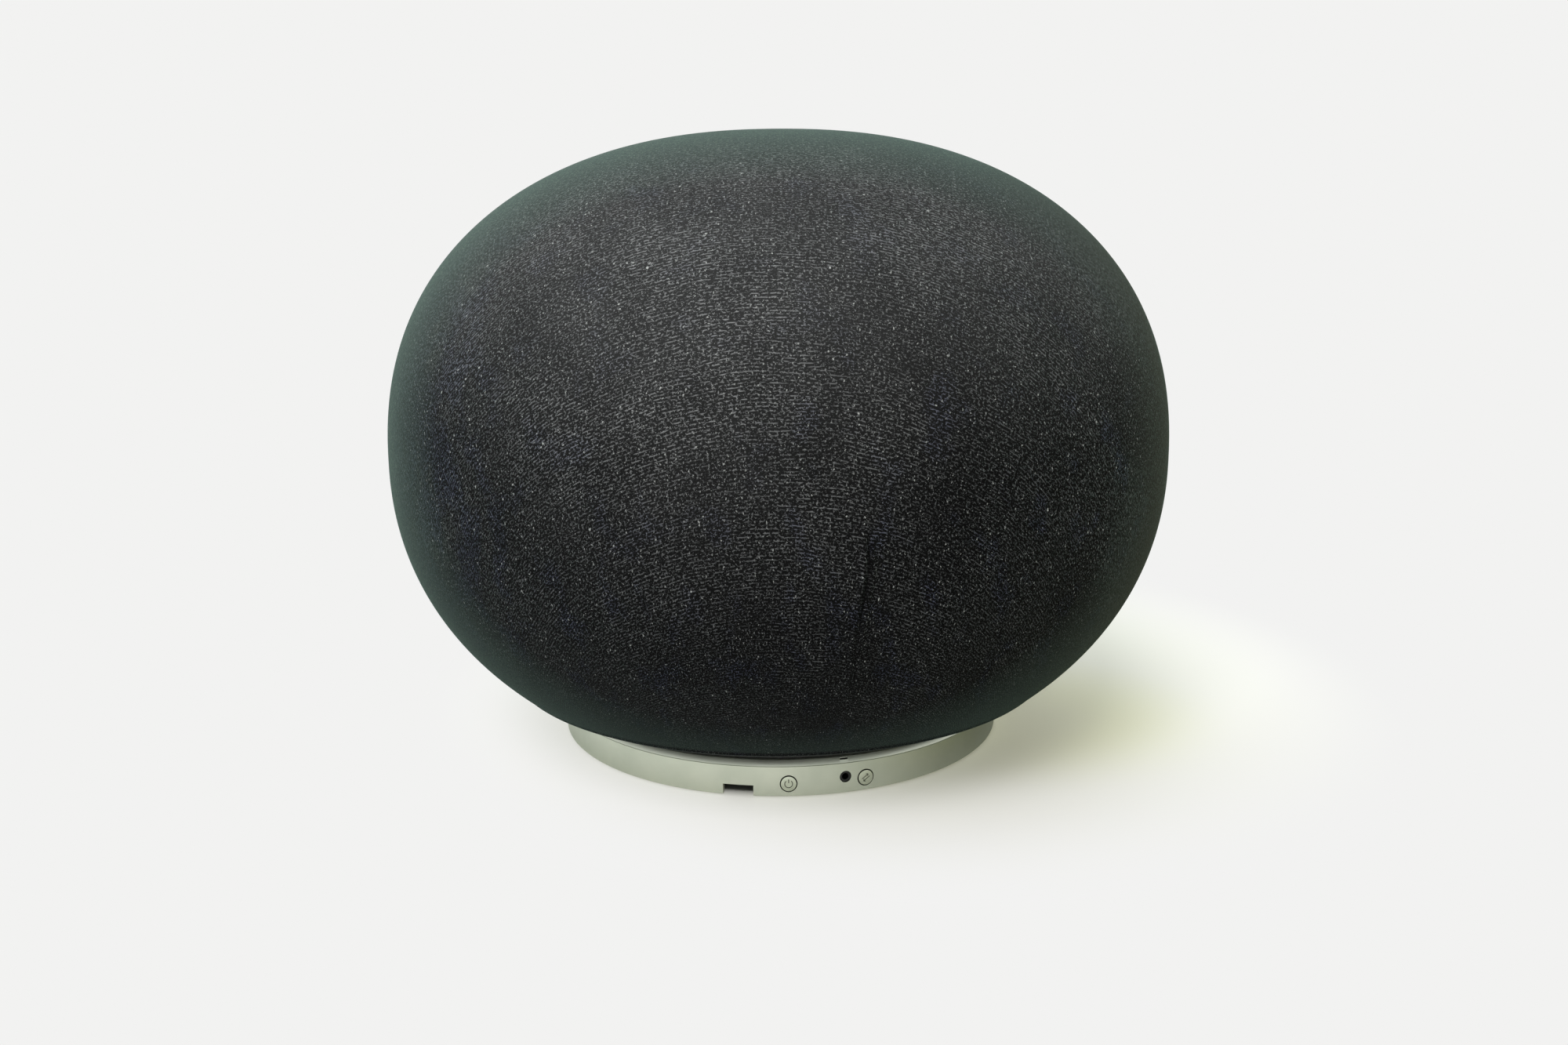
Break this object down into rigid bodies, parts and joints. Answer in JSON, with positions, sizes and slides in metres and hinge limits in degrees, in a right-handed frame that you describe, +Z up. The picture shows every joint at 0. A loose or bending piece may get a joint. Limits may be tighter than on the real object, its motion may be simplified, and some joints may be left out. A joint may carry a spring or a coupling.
{
  "type": "spherical loudspeaker",
  "caption": "Cloth covered spherical loudspeaker on a satin aluminium base ring, with push buttons, an audio socket and a cable notch.",
  "frame": {"origin": "middle of the foot ring, in the plane of the table", "axes": "+Z up; -Y is the side with the buttons and the audio socket; +Y is the side that the drivers face"},
  "size_m": [0.43, 0.4298, 0.3345],
  "materials": {
    "knit_cloth": "matt knit",
    "grille_plastic": "moulded",
    "black_plastic": "moulded",
    "light_window": "smoked",
    "satin_aluminium": "satin anodised",
    "button_aluminium": "satin anodised",
    "foot_rubber": "moulded",
    "screw_steel": "zinc plated",
    "black_steel": "blackened",
    "chassis_steel": "zinc plated",
    "enclosure_plastic": "moulded",
    "wadding": "loose fibre",
    "basket_metal": "powder coated",
    "magnet_ferrite": "ground ferrite",
    "cone_black": "pressed fibre",
    "coil_copper": "wound copper",
    "surround_rubber": "moulded",
    "spider_cloth": "resin dipped cloth",
    "dome_silk": "coated silk",
    "pin_brass": "plated",
    "board_green": "solder mask",
    "board_blue": "solder mask",
    "transformer_yellow": "taped winding",
    "capacitor_sleeve": "shrink sleeve",
    "heat_sink_aluminium": "extruded"
  },
  "bodies": {
    "speaker": {"fabric_cover": "knit_cloth", "grille_upper": "grille_plastic", "grille_lower": "grille_plastic", "hem_clamp_ring": "black_plastic", "hem_screws": "black_steel", "neck_collar": "black_plastic", "neck_flare": "black_plastic", "base_ring": "satin_aluminium", "base_plate": "black_plastic", "foot_ring": "foot_rubber", "base_screws": "screw_steel", "chassis_plate": "chassis_steel", "grille_screws": "screw_steel", "power_switch_board": "board_green", "input_board": "board_green", "aux_jack": "black_plastic", "status_light": "light_window", "mains_inlet": "black_plastic", "inlet_pins": "pin_brass", "enclosure_front": "enclosure_plastic", "enclosure_rear": "enclosure_plastic", "enclosure_gasket": "foot_rubber", "enclosure_screws": "screw_steel", "enclosure_base_screws": "screw_steel", "bass_port": "black_plastic", "damping_wadding": "wadding", "woofer_basket": "basket_metal", "woofer_magnet": "magnet_ferrite", "woofer_surround": "surround_rubber", "woofer_spider": "spider_cloth", "mid_left_basket": "basket_metal", "mid_left_magnet": "magnet_ferrite", "mid_left_surround": "surround_rubber", "mid_left_spider": "spider_cloth", "mid_right_basket": "basket_metal", "mid_right_magnet": "magnet_ferrite", "mid_right_surround": "surround_rubber", "mid_right_spider": "spider_cloth", "tweeter_left_housing": "black_plastic", "tweeter_right_housing": "black_plastic", "driver_screws": "black_steel", "power_supply_board": "board_green", "transformer": "transformer_yellow", "capacitors": "capacitor_sleeve", "amplifier_board": "board_blue", "heat_sink": "heat_sink_aluminium", "wireless_module": "board_blue", "antenna": "coil_copper", "board_screws": "screw_steel"},
    "power_button_body": {"power_button": "button_aluminium"},
    "source_button_body": {"source_button": "button_aluminium"},
    "woofer_moving": {"woofer_cone": "cone_black", "woofer_voice_coil": "coil_copper", "woofer_dust_cap": "cone_black"},
    "mid_left_moving": {"mid_left_cone": "cone_black"},
    "mid_right_moving": {"mid_right_cone": "cone_black"},
    "tweeter_left_moving": {"tweeter_left_dome": "dome_silk"},
    "tweeter_right_moving": {"tweeter_right_dome": "dome_silk"}
  },
  "joints": [
    {"name": "power_press", "type": "slide", "parent": "speaker", "child": "power_button_body", "axis": [-0.0297, 0.9996, 0], "range_m": [0, 0.0008], "stiffness_N_per_m": 300},
    {"name": "source_press", "type": "slide", "parent": "speaker", "child": "source_button_body", "axis": [-0.3486, 0.9373, 0], "range_m": [0, 0.0008], "stiffness_N_per_m": 300},
    {"name": "woofer_travel", "type": "slide", "parent": "speaker", "child": "woofer_moving", "axis": [0, 1, 0], "range_m": [-0.005, 0.005], "stiffness_N_per_m": 2000, "deforming": ["woofer_surround", "woofer_spider"]},
    {"name": "mid_left_travel", "type": "slide", "parent": "speaker", "child": "mid_left_moving", "axis": [0.866, 0.5, 0], "range_m": [-0.002, 0.002], "stiffness_N_per_m": 700, "deforming": ["mid_left_surround", "mid_left_spider"]},
    {"name": "mid_right_travel", "type": "slide", "parent": "speaker", "child": "mid_right_moving", "axis": [-0.866, 0.5, 0], "range_m": [-0.002, 0.002], "stiffness_N_per_m": 700, "deforming": ["mid_right_surround", "mid_right_spider"]},
    {"name": "tweeter_left_travel", "type": "slide", "parent": "speaker", "child": "tweeter_left_moving", "axis": [0.4096, 0.7094, 0.5736], "range_m": [-0.0003, 0.0003], "stiffness_N_per_m": 400},
    {"name": "tweeter_right_travel", "type": "slide", "parent": "speaker", "child": "tweeter_right_moving", "axis": [-0.4096, 0.7094, 0.5736], "range_m": [-0.0003, 0.0003], "stiffness_N_per_m": 400}
  ]
}
